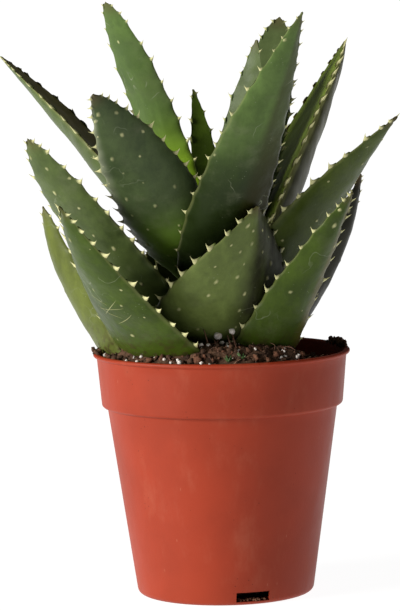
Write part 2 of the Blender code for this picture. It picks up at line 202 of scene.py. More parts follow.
# tooth, gap: the length of the largest teeth and the distance between teeth
# spots: how many raised pale spots the underside carries
# skin: which of the skins the leaf wears
# blush: how strongly the underside takes the flush colour along the +across margin, or the other one if negative;
# a brown-pink margin on most leaves, painted shade on leaf_lower_front and leaf_top_front, a pale painted sheen on
# leaf_upper_front_left
# edge: how pale its margins are
# bloom, scuffs: how much pale haze, and how many fine pale lines, lie on it
# blunt: how suddenly it narrows at its tip; 1 is a straight run to the point
LOOKS = {
    "leaf_top_left": Look(0.0030, 0.0110, 2, "fresh", 0.0, 0.25, 0.20, 0.7, 0.62),
    "leaf_top_far_left": Look(0.0038, 0.0095, 9, "pale", -0.55, 0.35, 0.30, 0.3, 0.80),
    "leaf_upper_front_left": Look(0.0040, 0.0088, 30, "deep", -0.60, 0.20, 0.45, 0.4, 0.80),
    "leaf_middle_left": Look(0.0046, 0.0095, 22, "misty", 0.0, 0.25, 0.40, 0.5, 0.85),
    "leaf_lower_front_left": Look(0.0056, 0.0096, 16, "green", 0.0, 0.30, 0.20, 0.5, 0.90),
    "leaf_lower_left": Look(0.0036, 0.0115, 5, "light", 0.0, 0.20, 0.15, 0.2, 0.90),
    "leaf_lower_front": Look(0.0058, 0.0084, 44, "broad", 0.95, 0.25, 0.25, 0.3, 0.90),
    "leaf_top_front": Look(0.0030, 0.0118, 4, "front", 0.70, 0.25, 0.40, 0.8, 0.95),
    "leaf_heart": Look(0.0026, 0.0115, 3, "dark", 0.0, 0.10, 0.0, 0.0, 0.90),
    "leaf_top_back": Look(0.0030, 0.0105, 5, "smooth", 0.0, 0.25, 0.10, 0.2, 0.90),
    "leaf_top_back_right": Look(0.0034, 0.0098, 6, "smooth", 0.0, 0.20, 0.10, 0.2, 0.75),
    "leaf_upper_right": Look(0.0044, 0.0092, 12, "olive", 0.75, 0.85, 0.20, 0.2, 0.80),
    "leaf_middle_right": Look(0.0056, 0.0098, 18, "dull", 0.50, 0.30, 0.20, 0.3, 0.90),
    "leaf_lower_front_right": Look(0.0040, 0.0098, 14, "green", 0.60, 0.25, 0.20, 0.3, 0.90),
    "leaf_lower_right": Look(0.0032, 0.0085, 8, "rear_in_painted_shade", 0.60, 0.15, 0.10, 0.1, 0.90),
    "leaf_upper_back_left": Look(0.0036, 0.0085, 6, "olive", 0.0, 0.20, 0.20, 0.2, 0.80),
}
PLAIN_LOOK = Look(0.0032, 0.0100, 14, "green", 0.2, 0.25, 0.2, 0.3, 0.90)

# reach: the share of the length that wears the foot's colour
# onset: how far across the flush colour on the underside begins, -1 to 1
# middle, shade: the two greens that cloud the underside; base: the colour of the foot, a fresher green on most
# leaves, a bright painted light on leaf_top_left and leaf_upper_front_left and near-black painted shade on
# leaf_top_front
# channel: the hollow upper side; flush: the colour of the underside along the flushed margin, brown-pink on most
# leaves, painted shade on leaf_lower_front and leaf_top_front and a pale painted sheen on leaf_upper_front_left
Skin = namedtuple("Skin", "reach onset middle shade base channel flush")

SKINS = {
    # its foot is a bright yellow-green: painted light shining through the leaf
    "fresh": Skin(
        0.30, 0.30, (0.088, 0.144, 0.034), (0.068, 0.113, 0.029), (0.280, 0.480, 0.018),
        (0.070, 0.110, 0.020), (0.060, 0.050, 0.022),
    ),
    "pale": Skin(
        0.08, 0.30, (0.084, 0.118, 0.032), (0.063, 0.090, 0.026), (0.095, 0.125, 0.028),
        (0.240, 0.210, 0.045), (0.080, 0.060, 0.032),
    ),
    # its foot is a fresher green brightened as painted light, and its flush is a pale painted sheen along its left
    # margin
    "deep": Skin(
        0.20, 0.72, (0.068, 0.098, 0.036), (0.048, 0.072, 0.028), (0.150, 0.270, 0.020),
        (0.050, 0.060, 0.014), (0.460, 0.470, 0.340),
    ),
    "misty": Skin(
        0.10, 0.30, (0.078, 0.110, 0.030), (0.053, 0.077, 0.022), (0.085, 0.120, 0.018),
        (0.050, 0.060, 0.014), (0.060, 0.045, 0.020),
    ),
    "dull": Skin(
        0.10, 0.20, (0.054, 0.078, 0.010), (0.037, 0.056, 0.008), (0.064, 0.086, 0.007),
        (0.034, 0.040, 0.010), (0.046, 0.040, 0.009),
    ),
    "green": Skin(
        0.10, 0.35, (0.046, 0.076, 0.007), (0.032, 0.054, 0.005), (0.110, 0.160, 0.008),
        (0.040, 0.050, 0.012), (0.120, 0.078, 0.012),
    ),
    # its flush is near black: painted shade down the right half of the leaf
    "broad": Skin(
        0.10, -0.15, (0.134, 0.178, 0.044), (0.092, 0.123, 0.030), (0.118, 0.158, 0.022),
        (0.040, 0.050, 0.012), (0.008, 0.006, 0.002),
    ),
    # its foot is near black, painted shade over its lower part, and its flush is painted shade along its right
    # side
    "front": Skin(
        0.44, -0.10, (0.098, 0.158, 0.040), (0.066, 0.110, 0.026), (0.008, 0.014, 0.002),
        (0.040, 0.050, 0.012), (0.024, 0.018, 0.003),
    ),
    "light": Skin(
        0.10, 0.30, (0.110, 0.135, 0.024), (0.084, 0.104, 0.019), (0.120, 0.165, 0.020),
        (0.024, 0.030, 0.008), (0.060, 0.050, 0.020),
    ),
    "dark": Skin(
        0.10, 0.30, (0.056, 0.088, 0.006), (0.039, 0.064, 0.005), (0.085, 0.175, 0.006),
        (0.050, 0.088, 0.006), (0.030, 0.030, 0.010),
    ),
    "smooth": Skin(
        0.10, 0.30, (0.110, 0.160, 0.050), (0.078, 0.118, 0.035), (0.080, 0.125, 0.016),
        (0.104, 0.142, 0.050), (0.060, 0.045, 0.020),
    ),
    "olive": Skin(
        0.10, 0.00, (0.044, 0.046, 0.006), (0.031, 0.032, 0.004), (0.066, 0.074, 0.010),
        (0.170, 0.240, 0.030), (0.046, 0.030, 0.004),
    ),
    # near-black greens throughout: painted shade on a leaf lying behind the others
    "rear_in_painted_shade": Skin(
        0.10, 0.20, (0.010, 0.010, 0.001), (0.008, 0.008, 0.001), (0.018, 0.020, 0.002),
        (0.016, 0.020, 0.003), (0.012, 0.009, 0.001),
    ),
}
MARGIN = (0.220, 0.230, 0.080)
BLOOM = (0.150, 0.165, 0.090)
SCUFF = (0.240, 0.270, 0.170)
TIP_BROWN = (0.110, 0.075, 0.035)
SPLASH = (0.050, 0.026, 0.014)

# healed scratches: start and end as (share of the length, angle round the section), and their bow
SCRATCHES = {
    "leaf_lower_front_left": (
        ((0.53, -1.90), (0.56, -1.05), 0.004),
        ((0.51, -1.78), (0.60, -1.10), 0.004),
        ((0.48, -1.50), (0.53, -0.95), -0.003),
        ((0.58, -2.05), (0.57, -1.50), 0.004),
        ((0.54, -1.95), (0.51, -1.30), 0.003),
    ),
}


# ---- small helpers ------------------------------------------------------------------------------
def unit(vectors):
    return vectors / np.maximum(np.linalg.norm(vectors, axis=-1, keepdims=True), 1e-12)


def scaled(colour, share):
    return tuple(channel * share for channel in colour)


def smooth(value):
    """3t^2 - 2t^3 with t held between 0 and 1."""
    held = np.clip(value, 0.0, 1.0)
    return held * held * (3 - 2 * held)


def grid_faces(rows, columns, wrap, first=0):
    """Quads of a grid of points, row by row; wrap joins the last column to the first."""
    last = columns if wrap else columns - 1
    row = np.arange(rows - 1)[:, None] * columns
    near = np.arange(last)[None, :]
    far = (near + 1) % columns
    quads = [row + near, row + far, row + columns + far, row + columns + near]
    return np.stack(quads, axis=-1).reshape(-1, 4) + first


def fan_faces(ring, centre, flip=False):
    """Triangles from one centre point to a closed ring of points."""
    ring = np.asarray(ring)
    nearer = np.roll(ring, -1)
    middle = np.full(len(ring), centre)
    faces = [middle, nearer, ring] if flip else [middle, ring, nearer]
    return np.stack(faces, axis=-1)


class Patchwork:
    """Gathers surfaces with their per-point values, and turns them into one mesh."""

    def __init__(self, *fields):
        self.points = []
        self.faces = []
        self.fields = {name: [] for name in fields}
        self.count = 0

    def add(self, points, faces, **values):
        points = np.asarray(points, float).reshape(-1, 3)
        for block in faces:
            self.faces.extend((np.asarray(block) + self.count).tolist())
        self.points.append(points)
        for name, store in self.fields.items():
            value = np.asarray(values.get(name, 0.0), float)
            store.append(np.broadcast_to(value.reshape(-1) if value.ndim else value, (len(points),)))
        self.count += len(points)

    def build(self, name, material, smooth_shading=True):
        mesh = bpy.data.meshes.new(name)
        mesh.from_pydata(np.concatenate(self.points).tolist(), [], self.faces)
        for field, store in self.fields.items():
            attribute = mesh.attributes.new(field, "FLOAT", "POINT")
            attribute.data.foreach_set("value", np.concatenate(store).astype(np.float32))
        mesh.materials.append(material)
        if smooth_shading:
            mesh.polygons.foreach_set("use_smooth", [True] * len(mesh.polygons))
        mesh.update()
        made = bpy.data.objects.new(name, mesh)
        bpy.context.scene.collection.objects.link(made)
        return made


# ---- node helpers -------------------------------------------------------------------------------
class Recipe:
    """A material's node tree, written one node at a time."""

    def __init__(self, name):
        self.material = bpy.data.materials.new(name)
        self.material.use_nodes = True
        self.tree = self.material.node_tree
        self.shader = self.tree.nodes["Principled BSDF"]
        coordinates = self.tree.nodes.new("ShaderNodeTexCoord")
        self.place = coordinates.outputs["Object"]

    def _set(self, socket, value):
        if isinstance(value, bpy.types.NodeSocket):
            self.tree.links.new(value, socket)
        elif value is not None:
            socket.default_value = value

    def noise(self, scale, detail=4.0, roughness=0.55, stretch=None, vector=None):
        node = self.tree.nodes.new("ShaderNodeTexNoise")
        node.inputs["Scale"].default_value = scale
        node.inputs["Detail"].default_value = detail
        node.inputs["Roughness"].default_value = roughness
        self._set(node.inputs["Vector"], self.stretched(vector or self.place, stretch))
        return node.outputs["Fac"]

    def cells(self, scale, feature="F1", stretch=None, output="Distance"):
        node = self.tree.nodes.new("ShaderNodeTexVoronoi")
        node.feature = feature
        node.inputs["Scale"].default_value = scale
        self._set(node.inputs["Vector"], self.stretched(self.place, stretch))
        return node.outputs[output]

    def stretched(self, vector, stretch):
        if stretch is None:
            return vector
        node = self.tree.nodes.new("ShaderNodeMapping")
        node.inputs["Scale"].default_value = stretch
        self.tree.links.new(vector, node.inputs["Vector"])
        return node.outputs["Vector"]

    def height(self):
        """The height above the ground."""
        node = self.tree.nodes.new("ShaderNodeSeparateXYZ")
        self.tree.links.new(self.place, node.inputs["Vector"])
        return node.outputs["Z"]

    def attribute(self, name):
        node = self.tree.nodes.new("ShaderNodeAttribute")
        node.attribute_name = name
        return node.outputs["Fac"]

    def math(self, operation, first, second=None, third=None):
        node = self.tree.nodes.new("ShaderNodeMath")
        node.operation = operation
        for socket, value in zip(node.inputs, (first, second, third)):
            self._set(socket, value)
        return node.outputs[0]

    def span(self, value, low, high, out_low=0.0, out_high=1.0):
        node = self.tree.nodes.new("ShaderNodeMapRange")
        node.interpolation_type = "SMOOTHSTEP"
        sockets = ("Value", "From Min", "From Max", "To Min", "To Max")
        for socket, given in zip(sockets, (value, low, high, out_low, out_high)):
            self._set(node.inputs[socket], given)
        return node.outputs["Result"]

    def blend(self, share, first, second, mode="MIX"):
        node = self.tree.nodes.new("ShaderNodeMix")
        node.data_type = "RGBA"
        node.blend_type = mode
        self._set(node.inputs["Factor"], share)
        for socket, value in ((node.inputs[6], first), (node.inputs[7], second)):
            self._set(socket, (*value, 1.0) if isinstance(value, tuple) else value)
        return node.outputs[2]

    def bump(self, height, strength, distance, over=None):
        node = self.tree.nodes.new("ShaderNodeBump")
        node.inputs["Strength"].default_value = strength
        node.inputs["Distance"].default_value = distance
        self._set(node.inputs["Height"], height)
        self._set(node.inputs["Normal"], over)
        return node.outputs["Normal"]

    def finish(self, colour, roughness, normal=None, **constants):
        self._set(self.shader.inputs["Base Color"], colour)
        self._set(self.shader.inputs["Roughness"], roughness)
        self._set(self.shader.inputs["Normal"], normal)
        for socket, value in constants.items():
            self.shader.inputs[socket.replace("_", " ")].default_value = value
        return self.material


# ---- settings -----------------------------------------------------------------------------------
def colour_property(name, description, default):
    return bpy.props.FloatVectorProperty(
        name=name, description=description, subtype="COLOR", size=3, min=0.0, max=1.0, default=default
    )


def length_property(name, description, default):
    return bpy.props.FloatProperty(
        name=name, description=description, default=default, min=0.0, unit="LENGTH", precision=4
    )


class AloePotSettings(bpy.types.PropertyGroup):
    sides: bpy.props.IntProperty(name="Sides", description="Steps round the pot", default=192, min=24)
    clay: colour_property("Plastic", "Colour of the moulded plastic", (0.315, 0.036, 0.012))
    dust: colour_property("Dust", "Colour of the dust on the plastic", (0.42, 0.13, 0.075))


class AloeSoilSettings(bpy.types.PropertyGroup):
    crumbs: bpy.props.IntProperty(name="Crumbs", description="Crumbs of peat", default=2400, min=0)
    grains: bpy.props.IntProperty(name="Grains", description="White perlite grains", default=280, min=0)
    fibres: bpy.props.IntProperty(name="Fibres", description="Loose root fibres", default=110, min=0)
    peat: colour_property("Peat", "Colour of the peat", (0.120, 0.064, 0.038))
    perlite: colour_property("Perlite", "Colour of the perlite", (0.78, 0.72, 0.66))


class AloeLeafSettings(bpy.types.PropertyGroup):
    stations: bpy.props.IntProperty(name="Stations", description="Steps along a leaf", default=150, min=20)
    sides: bpy.props.IntProperty(name="Sides", description="Steps round a leaf", default=48, min=12)
    spot_radius: length_property("Spot radius", "Radius of a raised spot", 0.00120)
    cream: colour_property("Cream", "Colour of the teeth and the spots", (0.62, 0.60, 0.30))


class AloeStageSettings(bpy.types.PropertyGroup):
    key_strength: bpy.props.FloatProperty(name="Key light", description="Strength of the key", default=4.2)
    fill_strength: bpy.props.FloatProperty(name="Fill light", description="Strength of the sky", default=0.08)
    lens: bpy.props.FloatProperty(
        name="Lens", description="Focal length of the camera", default=203.0, unit="CAMERA"
    )


# ---- the pot ------------------------------------------------------------------------------------
def arc(centre, radius, start, end, steps):
    """Points of radius and height on part of a circle, from one angle to the other."""
    angles = np.radians(np.linspace(start, end, steps + 1))
    return np.stack([centre[0] + radius * np.cos(angles), centre[1] + radius * np.sin(angles)], axis=-1)


def pot_outline():
    """The wall's cut, from the floor's centre up the inside, over the lip and down to the base's centre."""
    inside = [
        (0.0, FLOOR),
        (BASE_RADIUS - CORNER_RADIUS, FLOOR),
        (BASE_RADIUS - WALL, FLOOR + 0.0016),
        (BODY_TOP_RADIUS - WALL, COLLAR_FOOT_HEIGHT - 0.0030),
        (COLLAR_FOOT_RADIUS - WALL, COLLAR_FOOT_HEIGHT + 0.0004),
        (COLLAR_TOP_RADIUS - WALL, POT_HEIGHT - 0.0035),
    ]
    inner_lip = arc((COLLAR_TOP_RADIUS - WALL + 0.0012, POT_HEIGHT - 0.0010), 0.0010, 180, 90, 4)
    outer_lip = arc((LIP_RADIUS - 0.0010, POT_HEIGHT - 0.0010), 0.0010, 90, -80, 8)
    under_lip = [(COLLAR_TOP_RADIUS + 0.0003, POT_HEIGHT - LIP_DEPTH), (COLLAR_TOP_RADIUS, POT_HEIGHT - 0.0030)]
    step = arc((COLLAR_FOOT_RADIUS - 0.0016, COLLAR_FOOT_HEIGHT), 0.0016, 0, -86, 6)
    fillet = arc((BODY_TOP_RADIUS + 0.0006, COLLAR_FOOT_HEIGHT - 0.0022), 0.0006, 90, 180, 3)
    corner = arc((BASE_RADIUS - CORNER_RADIUS, CORNER_RADIUS), CORNER_RADIUS, -8, -90, 7)
    parts = [inside, inner_lip, outer_lip, under_lip, step, fillet, corner, [(0.0, 0.0)]]
    return np.concatenate([np.asarray(part) for part in parts])


def refined(outline, longest):
    """The outline with its long stretches split, so that no step is longer than the given length."""
    kept = [outline[0]]
    for start, end in zip(outline[:-1], outline[1:]):
        pieces = max(1, int(math.ceil(np.linalg.norm(end - start) / longest)))
        kept += [start + (end - start) * (k + 1) / pieces for k in range(pieces)]
    return np.array(kept)


def turned_surface(outline, sides):
    """Each outline point (r, z) carried round Z: (r cos a, r sin a, z), closed at its two axis points."""
    angles = np.linspace(0, TAU, sides, endpoint=False)
    ring = np.stack([np.cos(angles), np.sin(angles)], axis=-1)
    body = outline[1:-1]
    flat = body[:, None, 0, None] * ring[None]
    height = np.broadcast_to(body[:, None, 1:2], (*flat.shape[:2], 1))
    points = np.concatenate([flat, height], axis=-1).reshape(-1, 3)
    ends = [(0.0, 0.0, outline[0, 1]), (0.0, 0.0, outline[-1, 1])]
    rows = len(body)
    first = np.arange(sides)
    last = first + (rows - 1) * sides
    faces = [
        grid_faces(rows, sides, True),
        fan_faces(first, rows * sides, flip=True),
        fan_faces(last, rows * sides + 1),
    ]
    return np.concatenate([points, ends]), faces


def drain_cutter(number):
    """A box through the wall, just above the floor."""
    corners = np.array([(x, y, z) for x in (-1, 1) for y in (-1, 1) for z in (0, 1)], float)
    corners *= (0.006, DRAIN_WIDTH / 2, DRAIN_TOP - FLOOR)
    corners += (BASE_RADIUS, 0.0, FLOOR)
    turn = math.radians(DRAIN_TURN + number * 360 / DRAIN_COUNT)
    spin = np.array(Matrix.Rotation(turn, 3, "Z"))
    mesh = bpy.data.meshes.new(f"drain_cutter_{number}")
    faces = [(0, 1, 3, 2), (4, 6, 7, 5), (0, 4, 5, 1), (2, 3, 7, 6), (0, 2, 6, 4), (1, 5, 7, 3)]
    mesh.from_pydata((corners @ spin.T).tolist(), [], faces)
    made = bpy.data.objects.new(mesh.name, mesh)
    bpy.context.scene.collection.objects.link(made)
    return made


def pot_material(settings):
    recipe = Recipe("pot_plastic")
    clay = tuple(settings.clay)
    dust = tuple(settings.dust)
    cloudy = recipe.noise(22.0, 5.0, 0.6)
    mottled = recipe.blend(recipe.span(cloudy, 0.35, 0.7), clay, tuple(c * 0.86 for c in clay))
    film = recipe.noise(60.0, 6.0, 0.65, stretch=(1.0, 1.0, 0.45))
    filmed = recipe.blend(recipe.span(film, 0.5, 0.8, 0.0, 0.28), mottled, dust)
    specks = recipe.cells(420.0)
    chosen = recipe.noise(70.0, 2.0)
    speck = recipe.math("MULTIPLY", recipe.span(specks, 0.16, 0.05), recipe.span(chosen, 0.56, 0.66))
    specked = recipe.blend(speck, filmed, tuple(c * 0.35 for c in clay))
    pale = recipe.cells(300.0, stretch=(1.0, 1.0, 0.35))
    pale_chosen = recipe.noise(45.0, 3.0, stretch=(1.3, 0.8, 1.0))
    scuff = recipe.math("MULTIPLY", recipe.span(pale, 0.12, 0.03), recipe.span(pale_chosen, 0.57, 0.68))
    scuffed = recipe.blend(recipe.math("MULTIPLY", scuff, 0.7), specked, dust)
    roughness = recipe.span(film, 0.3, 0.8, 0.42, 0.58)
    grain = recipe.bump(recipe.noise(900.0, 3.0), 0.12, 0.0004)
    wavy = recipe.bump(recipe.noise(26.0, 2.0), 0.10, 0.004, over=grain)
    return recipe.finish(scuffed, roughness, wavy, Specular_IOR_Level=0.18)


class ALOE_OT_pot(bpy.types.Operator):
    """Moulded pot: one turned wall with a rolled lip and a stepped collar, and three slots at its foot"""

    bl_idname = "aloe.pot"
    bl_label = "Pot"

    def execute(self, context):
        settings = context.scene.aloe_pot
        points, faces = turned_surface(refined(pot_outline(), 0.004), settings.sides)
        work = Patchwork()
        work.add(points, faces)
        pot = work.build("pot_wall", pot_material(settings))
        cutters = [drain_cutter(number) for number in range(DRAIN_COUNT)]
        for cutter in cutters:
            cut = pot.modifiers.new(cutter.name, "BOOLEAN")
            cut.operation = "DIFFERENCE"
            cut.object = cutter
        depsgraph = context.evaluated_depsgraph_get()
        mesh = bpy.data.meshes.new_from_object(pot.evaluated_get(depsgraph))
        pot.modifiers.clear()
        pot.data = mesh
        mesh.set_sharp_from_angle(angle=math.radians(40))
        for cutter in cutters:
            bpy.data.objects.remove(cutter)
        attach(pot, "root")
        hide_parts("pot")
        return {"FINISHED"}


# ---- the soil -----------------------------------------------------------------------------------
def ripple(points, seed, waves, size):
    """A sum of sine waves in random directions: gentle lumps about as wide as the given size."""
    random = np.random.default_rng(seed)
    total = np.zeros(points.shape[:-1])
    for _ in range(waves):
        direction = random.normal(size=points.shape[-1])
        direction /= np.linalg.norm(direction)
        wavelength = size * random.uniform(0.6, 1.8)
        total += np.sin(points @ direction * TAU / wavelength + random.uniform(0, TAU)) * wavelength / size
    return total / math.sqrt(waves)


def soil_height(x, y):
    """The soil's top: near the lip at its edge, heaped against the front leaves, hollow at the right."""
    reach = np.hypot(x, y)
    turn = np.arctan2(y, x)
    front = 0.5 + 0.5 * np.cos(turn - math.radians(SOIL_HEAP_TURN))
    heap = SOIL_HEAP * smooth((SOIL_EDGE - reach) / SOIL_SLOPE_LENGTH) * (0.3 + 0.7 * front)
    sag = -0.0022 * (1 - front) * smooth(reach / SOIL_EDGE)
    side = smooth((np.cos(turn - math.radians(14)) - 0.40) / 0.5)
    hollow = -0.0080 * side * smooth((reach / SOIL_EDGE - 0.35) / 0.45)
    flat = np.stack([x, y], axis=-1)
    lumps = 0.00060 * ripple(flat, 3, 9, 0.012) + 0.00045 * ripple(flat, 5, 14, 0.0045)
    return POT_HEIGHT - 0.0008 + heap + sag + hollow + lumps


def wall_radius(height):
    """The pot's inner radius at a height, from its straight body and its stepped collar."""
    inner = np.interp(
        height,
        [FLOOR, COLLAR_FOOT_HEIGHT - 0.003, COLLAR_FOOT_HEIGHT + 0.0004, POT_HEIGHT],
        [BASE_RADIUS - WALL, BODY_TOP_RADIUS - WALL, COLLAR_FOOT_RADIUS - WALL, COLLAR_TOP_RADIUS - WALL],
    )
    return inner


def soil_body(sides=180, rings=70):
    """The soil as one closed skin: the lumpy top in rings, then down the pot's wall to the floor."""
    angles = np.linspace(0, TAU, sides, endpoint=False)
    reach = np.linspace(0, 1, rings + 1)[1:] ** 0.8
    edge = SOIL_EDGE
    x = edge * reach[:, None] * np.cos(angles)[None]
    y = edge * reach[:, None] * np.sin(angles)[None]
    top = np.stack([x, y, soil_height(x, y)], axis=-1)
    levels = np.linspace(0.094, 0.016, 10)
    inner = wall_radius(levels) - 0.0003
    levels = np.append(levels, FLOOR + 0.0003)
    inner = np.append(inner, BASE_RADIUS * 0.72)
    walls = np.stack(
        [
            inner[:, None] * np.cos(angles)[None],
            inner[:, None] * np.sin(angles)[None],
            np.broadcast_to(levels[:, None], (len(levels), sides)),
        ],
        axis=-1,
    )
    rows = np.concatenate([top, walls])
    count = rows.shape[0] * sides
    ends = [(0.0, 0.0, float(soil_height(np.array(0.0), np.array(0.0)))), (0.0, 0.0, FLOOR + 0.0003)]
    points = np.concatenate([rows.reshape(-1, 3), ends])
    faces = [
        grid_faces(rows.shape[0], sides, True)[:, ::-1],
        fan_faces(np.arange(sides), count),
        fan_faces(np.arange(sides) + count - sides, count + 1, flip=True),
    ]
    return points, faces


def lump_shape(rows=4, columns=6):
    """A ball of few faces: rings of points between two poles, and its faces."""
    polar = np.linspace(0, math.pi, rows + 2)[1:-1]
    angles = np.linspace(0, TAU, columns, endpoint=False)
    ring = np.stack(
        [
            np.sin(polar)[:, None] * np.cos(angles)[None],
            np.sin(polar)[:, None] * np.sin(angles)[None],
            np.broadcast_to(np.cos(polar)[:, None], (rows, columns)),
        ],
        axis=-1,
    ).reshape(-1, 3)
    points = np.concatenate([ring, [(0, 0, 1), (0, 0, -1)]])
    count = rows * columns
    faces = [
        grid_faces(rows, columns, True)[:, ::-1],
        fan_faces(np.arange(columns), count),
        fan_faces(np.arange(columns) + count - columns, count + 1, flip=True),
    ]
    return points, faces


def random_turn(random):
    """A rotation matrix from a random quaternion."""
    w, x, y, z = unit(random.normal(size=4))
    return np.array(
        [
            [1 - 2 * (y * y + z * z), 2 * (x * y - z * w), 2 * (x * z + y * w)],
            [2 * (x * y + z * w), 1 - 2 * (x * x + z * z), 2 * (y * z - x * w)],
            [2 * (x * z - y * w), 2 * (y * z + x * w), 1 - 2 * (x * x + y * y)],
        ]
    )


def strewn(random, count, inner=0.25):
    """Places on the soil, evenly over its area, with their heights."""
    reach = np.sqrt(random.uniform(inner * inner, 1.0, count)) * (COLLAR_TOP_RADIUS - WALL - 0.0018)
    turn = random.uniform(0, TAU, count)
    x = reach * np.cos(turn)
    y = reach * np.sin(turn)
    return np.stack([x, y, soil_height(x, y)], axis=-1)


def add_lumps(work, random, places, sizes, squash, roughness, tone=None):
    """A rough lump at each place: the ball pushed in and out by random shares, turned and scaled."""
    ball, faces = lump_shape()
    for place, size in zip(places, sizes):
        shape = ball * (1 + random.uniform(-roughness, roughness, (len(ball), 1)))
        shape = shape * (1.0, random.uniform(0.6, 1.0), random.uniform(squash, 1.0))
        shade = random.uniform() if tone is None else tone
        work.add(shape @ random_turn(random).T * size + place, faces, tone=shade)


def tube(path, radii, sides):
    """A round tube: a circle of the given radius carried along the path, closed at both ends."""
    ahead = unit(np.gradient(path, axis=0))
    side = unit(np.cross(ahead, (0.31, 0.17, 0.93)))
    over = np.cross(side, ahead)
    angles = np.linspace(0, TAU, sides, endpoint=False)
    circle = np.cos(angles)[None, :, None] * side[:, None] + np.sin(angles)[None, :, None] * over[:, None]
    points = (path[:, None] + circle * np.asarray(radii)[:, None, None]).reshape(-1, 3)
    count = len(path) * sides
    points = np.concatenate([points, [path[0], path[-1]]])
    faces = [
        grid_faces(len(path), sides, True)[:, ::-1],
        fan_faces(np.arange(sides), count),
        fan_faces(np.arange(sides) + count - sides, count + 1, flip=True),
    ]
    return points, faces


def bowed(start, end, bow, steps=9):
    """Points from start to end, with the middle moved aside along X."""
    along = np.linspace(0.0, 1.0, steps)[:, None]
    path = np.array(start) + (np.array(end) - np.array(start)) * along
    path[:, 0] += bow * np.sin(math.pi * along[:, 0])
    return path


def peat_material(settings, name="peat_soil"):
    recipe = Recipe(name)
    peat = tuple(settings.peat)
    tone = recipe.attribute("tone")
    broad = recipe.noise(160.0, 6.0, 0.7)
    lit = recipe.blend(recipe.span(broad, 0.35, 0.75), scaled(peat, 0.30), scaled(peat, 1.7))
    dark = recipe.blend(recipe.span(tone, 0.45, 0.05, 0.0, 0.75), lit, scaled(peat, 0.22))
    ruddy = recipe.blend(recipe.span(tone, 0.55, 1.0, 0.0, 0.8), dark, (0.20, 0.085, 0.048))
    fleck = recipe.math("MULTIPLY", recipe.span(recipe.cells(900.0), 0.22, 0.1), recipe.span(broad, 0.50, 0.58))
    flecked = recipe.blend(recipe.math("MULTIPLY", fleck, 0.6), ruddy, (0.40, 0.26, 0.17))
    rough = recipe.bump(recipe.noise(1400.0, 6.0, 0.8), 0.9, 0.0006)
    return recipe.finish(flecked, recipe.span(broad, 0.3, 0.8, 0.75, 0.98), rough, Specular_IOR_Level=0.15)


def perlite_material(settings):
    recipe = Recipe("perlite")
    white = tuple(settings.perlite)
    stain = recipe.noise(520.0, 4.0, 0.6)
    stained = recipe.blend(recipe.span(stain, 0.5, 0.75, 0.0, 0.75), white, (0.40, 0.25, 0.17))
    pits = recipe.bump(recipe.cells(1800.0), 0.6, 0.0003)
    return recipe.finish(stained, recipe.span(stain, 0.3, 0.7, 0.8, 0.95), pits, Specular_IOR_Level=0.3)


def fibre_material():
    recipe = Recipe("root_fibre")
    tone = recipe.attribute("tone")
    grain = recipe.noise(900.0, 4.0, 0.6, stretch=(1.0, 1.0, 0.3))
    woody = recipe.blend(tone, (0.13, 0.050, 0.030), (0.36, 0.20, 0.12))
    grained = recipe.blend(recipe.span(grain, 0.4, 0.7, 0.0, 0.6), woody, (0.05, 0.022, 0.014))
    return recipe.finish(grained, recipe.span(grain, 0.3, 0.7, 0.7, 0.9), recipe.bump(grain, 0.4, 0.0003))


def shoot_material():
    recipe = Recipe("shoot_skin")
    tone = recipe.noise(700.0, 3.0, 0.6)
    green = recipe.blend(recipe.span(tone, 0.35, 0.7), (0.060, 0.120, 0.030), (0.030, 0.065, 0.016))
    return recipe.finish(green, recipe.span(tone, 0.3, 0.7, 0.5, 0.7), recipe.bump(tone, 0.3, 0.0003))


def lying(rows):
    """Places of things half sunk in the soil, and their sizes, from rows of x, y and size."""
    x, y, sizes = np.array(rows).T
    return np.stack([x, y, soil_height(x, y) + 0.4 * sizes], axis=-1), sizes


def rim_places(random):
    """Places on top of the lip where soil was spilt: most at the back right, a few at the left."""
    turns = np.radians(np.concatenate([random.normal(17, 7, 34), random.normal(190, 10, 12)]))
    radius = LIP_RADIUS - 0.0018
    places = np.stack([radius * np.cos(turns), radius * np.sin(turns), 0 * turns], axis=-1)
    places += random.normal(0, 0.0008, places.shape)
    places[:, 2] = POT_HEIGHT + random.uniform(-0.0003, 0.0016, len(turns))
    return places


def inner_rim_places(random):
    """Places just inside the lip at the front right, where dry crumbs cling to the wall."""
    turns = np.radians(random.normal(-40, 9, 26))
    radius = COLLAR_TOP_RADIUS - WALL - 0.0010
    height = POT_HEIGHT - random.uniform(0.0, 0.0020, len(turns))
    return np.stack([radius * np.cos(turns), radius * np.sin(turns), height], axis=-1)


def loose_fibre(random, place):
    """A curved fibre lying on the soil, one end a little raised, or None where it would cross the wall."""
    along = np.linspace(-0.5, 0.5, 9)
    length = random.uniform(0.004, 0.014)
    turn = random.uniform(0, TAU) + random.normal(0, 1.2) * along
    x = place[0] + length * along * np.cos(turn)
    y = place[1] + length * along * np.sin(turn)
    lift = 0.0006 + random.uniform(0, 0.0030) * (along + 0.5) ** 2
    if np.hypot(x, y).max() > SOIL_EDGE - 0.0006:
        return None
    return np.stack([x, y, soil_height(x, y) + lift], axis=-1)


def slot_places(random):
    """Places on the pot's floor just inside the front slot, where washed-out crumbs lie."""
    turns = math.radians(DRAIN_TURN) + random.uniform(-0.85, 0.85, 22) * DRAIN_WIDTH / 2 / BASE_RADIUS
    radius = BASE_RADIUS - random.uniform(0.0008, 0.0034, 22)
    return np.stack([radius * np.cos(turns), radius * np.sin(turns), 0 * turns + FLOOR + 0.0006], axis=-1)


